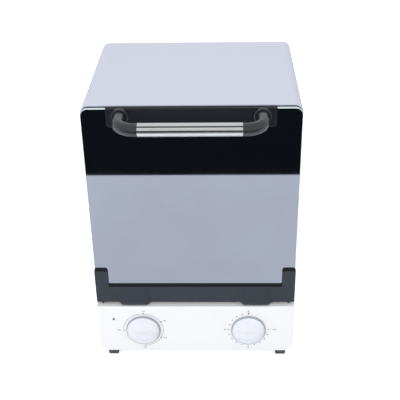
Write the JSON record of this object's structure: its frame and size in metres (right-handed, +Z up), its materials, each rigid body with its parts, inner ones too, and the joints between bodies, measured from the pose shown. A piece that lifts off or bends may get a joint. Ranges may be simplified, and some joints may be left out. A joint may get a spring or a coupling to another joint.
{
  "type": "dry heat sterilizer",
  "caption": "Upright bench-top dry heat sterilizer with a drop-down mirror glass door, tubular handle, two control knobs, rack and tray.",
  "frame": {"origin": "on the table under the middle of the whole machine, from the handle to the cable gland", "axes": "+X to the right seen from the front, +Y to the back, +Z up"},
  "size_m": [0.258, 0.275, 0.3695],
  "materials": {
    "housing_enamel": "satin",
    "panel_moulding": "semi-gloss",
    "mirror_glass": "mirror-tinted, gloss",
    "dark_moulding": "fine matt",
    "drawn_aluminium": "satin anodised",
    "knob_moulding": "semi-gloss",
    "lens_moulding": "clear gloss",
    "foot_rubber": "matt",
    "frame_enamel": "satin",
    "zinc_steel": "zinc plated",
    "pin_steel": "ground",
    "spring_steel": "drawn",
    "liner_steel": "aluminised",
    "heater_sheath": "oxidised",
    "white_ceramic": "unglazed",
    "rack_chrome": "bright plated",
    "tray_steel": "satin",
    "phenolic_case": "moulded",
    "bulb_copper": "drawn copper",
    "black_nylon": "moulded"
  },
  "bodies": {
    "cabinet": {"back_panel": "housing_enamel", "base_plate": "zinc_steel", "cable_gland": "black_nylon", "cavity_liner": "liner_steel", "control_panel": "panel_moulding", "door_springs": "spring_steel", "foot_front_left": "foot_rubber", "foot_front_right": "foot_rubber", "foot_rear_left": "foot_rubber", "foot_rear_right": "foot_rubber", "front_frame": "frame_enamel", "heat_shield": "liner_steel", "heater_ends": "white_ceramic", "heater_lower_front": "heater_sheath", "heater_lower_rear": "heater_sheath", "heater_upper_front": "heater_sheath", "heater_upper_rear": "heater_sheath", "hinge_knuckle_left": "zinc_steel", "hinge_knuckle_right": "zinc_steel", "indicator_lamp": "lens_moulding", "outer_shell": "housing_enamel", "terminal_block": "white_ceramic", "thermostat": "phenolic_case", "thermostat_bulb": "bulb_copper", "timer": "zinc_steel"},
    "door": {"door_glass": "mirror_glass", "door_lower_frame": "dark_moulding", "door_clamp": "zinc_steel", "stay_left": "zinc_steel", "stay_right": "zinc_steel", "hinge_pin_left": "pin_steel", "hinge_pin_right": "pin_steel", "handle_bracket": "dark_moulding", "handle_elbows": "dark_moulding", "handle_bar": "drawn_aluminium"},
    "temperature_dial": {"temperature_knob": "knob_moulding", "thermostat_shaft": "pin_steel"},
    "timer_dial": {"timer_knob": "knob_moulding", "timer_shaft": "pin_steel"},
    "rack": {"wire_rack": "rack_chrome"},
    "tray": {"instrument_tray": "tray_steel"}
  },
  "joints": [
    {"name": "door_hinge", "type": "hinge", "parent": "cabinet", "child": "door", "pos_m": [0, -0.093, 0.0975], "axis": [1, 0, 0], "range_deg": [0, 90], "stiffness_Nm_per_rad": 0.4, "springref_deg": -28.65, "deforming": ["door_springs"]},
    {"name": "temperature_turn", "type": "hinge", "parent": "cabinet", "child": "temperature_dial", "pos_m": [-0.0695, -0.0985, 0.053], "axis": [0, 1, 0], "range_deg": [0, 270]},
    {"name": "timer_turn", "type": "hinge", "parent": "cabinet", "child": "timer_dial", "pos_m": [0.0695, -0.0985, 0.053], "axis": [0, 1, 0], "range_deg": [0, 270]},
    {"name": "rack_slide", "type": "slide", "parent": "cabinet", "child": "rack", "axis": [0, -1, 0], "range_m": [0, 0.142]},
    {"name": "tray_slide", "type": "slide", "parent": "cabinet", "child": "tray", "axis": [0, -1, 0], "range_m": [0, 0.079]}
  ],
  "couplings": [
    {"joint": "rack_slide", "follows": "door_hinge", "m_per_rad": 0.09},
    {"joint": "tray_slide", "follows": "door_hinge", "m_per_rad": 0.05}
  ]
}
